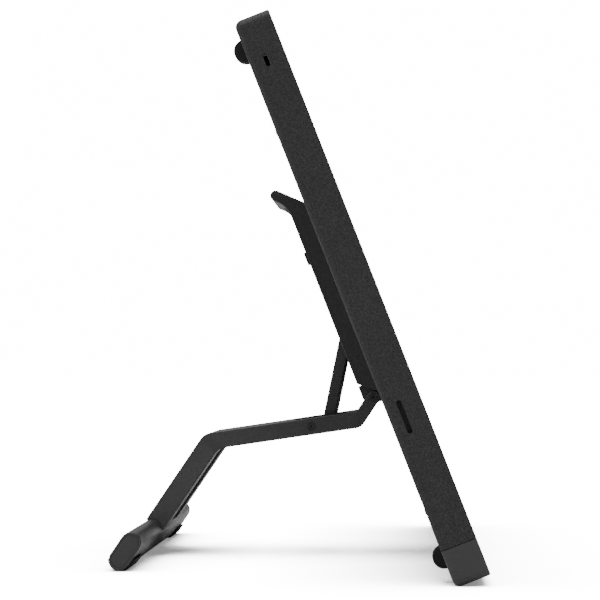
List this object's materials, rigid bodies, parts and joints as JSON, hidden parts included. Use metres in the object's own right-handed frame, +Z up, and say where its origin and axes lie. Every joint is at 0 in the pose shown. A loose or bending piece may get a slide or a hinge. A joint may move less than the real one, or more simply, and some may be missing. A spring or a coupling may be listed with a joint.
{
  "type": "pen drawing tablet",
  "caption": "Pen drawing display: a thick black screen slab leaning on a folding rear stand with a bent leg, a strut and a wide round foot bar.",
  "frame": {"origin": "centre of the bounding box's bottom, on the table", "axes": "+X along the screen's width, -Y towards the user, +Z up"},
  "size_m": [0.566, 0.2588, 0.3712],
  "materials": {
    "grained_casing": "coarse moulded grain, near black",
    "smooth_casing": "fine satin, near black",
    "screen_glass": "etched black display glass",
    "tape": "black adhesive tape",
    "panel": "dark switched-off panel",
    "clear_acrylic": "clear moulded acrylic",
    "bare_metal": "mill finish sheet",
    "steel_sheet": "plated sheet steel",
    "circuit_board": "solder mask on glass-fibre laminate",
    "chips": "moulded packages",
    "screws": "blackened steel",
    "ribbon": "amber polyimide film",
    "port_tray": "satin black",
    "brass_bush": "turned and knurled",
    "cast_stand": "fine black powder coat on die casting",
    "leg_coat": "fine black powder coat",
    "caps": "satin black",
    "bolts": "black oxide",
    "lock_steel": "phosphated spring steel",
    "rubber": "matte black rubber"
  },
  "bodies": {
    "tablet": {"back_cover": "grained_casing", "bottom_cap": "smooth_casing", "front_glass": "screen_glass", "glass_tape": "tape", "lcd_panel": "panel", "light_guide": "clear_acrylic", "backlight_tray": "bare_metal", "digitizer_board": "circuit_board", "shield_plate": "steel_sheet", "mid_frame": "bare_metal", "frame_screws": "screws", "main_board": "circuit_board", "power_board": "circuit_board", "board_chips": "chips", "board_screws": "screws", "heat_spreader": "bare_metal", "sensor_ribbon": "ribbon", "port_bay": "port_tray", "port_connectors": "steel_sheet", "button_board": "circuit_board", "status_light_pipe": "clear_acrylic", "lock_slot_plate": "steel_sheet", "side_slot_trims": "port_tray", "back_bumps": "rubber", "stand_inserts": "brass_bush", "stand_screws": "screws", "stand_housing": "cast_stand", "hinge_bracket": "cast_stand", "bracket_screws": "screws", "hinge_bolts": "bolts", "hinge_washers": "steel_sheet", "key_pin": "steel_sheet", "key_springs": "steel_sheet", "leg_bumpers": "rubber"},
    "power_button": {"power_button": "smooth_casing"},
    "release_key": {"release_key": "caps", "lock_frame": "lock_steel"},
    "carriage": {"carriage_blocks": "lock_steel", "strut_pin": "steel_sheet"},
    "strut": {"strut": "cast_stand"},
    "leg": {"leg": "leg_coat", "strut_bolts": "bolts", "foot_bar": "leg_coat", "foot_end_caps": "caps", "foot_bar_screws": "screws", "foot_pads": "rubber"}
  },
  "joints": [
    {"name": "leg_hinge", "type": "hinge", "parent": "tablet", "child": "leg", "pos_m": [0, -0.05134, 0.11773], "axis": [1, 0, 0], "range_deg": [0, 76.5]},
    {"name": "carriage_slide", "type": "slide", "parent": "tablet", "child": "carriage", "axis": [0, 0.3649, 0.9311], "range_m": [0, 0.06997]},
    {"name": "strut_pivot", "type": "hinge", "parent": "carriage", "child": "strut", "pos_m": [0, -0.03107, 0.16671], "axis": [1, 0, 0], "range_deg": [-31.03, 0]},
    {"name": "release_pull", "type": "slide", "parent": "tablet", "child": "release_key", "axis": [0, 0.9311, -0.3649], "range_m": [0, 0.0016], "stiffness_N_per_m": 800, "springref_m": -0.002},
    {"name": "button_press", "type": "slide", "parent": "tablet", "child": "power_button", "axis": [0, -0.3649, -0.9311], "range_m": [0, 0.0008], "stiffness_N_per_m": 900, "springref_m": -0.0008}
  ],
  "couplings": [
    {"joint": "carriage_slide", "follows": "leg_hinge", "m_per_rad": 0.052258},
    {"joint": "strut_pivot", "follows": "leg_hinge", "ratio": -0.40305}
  ]
}
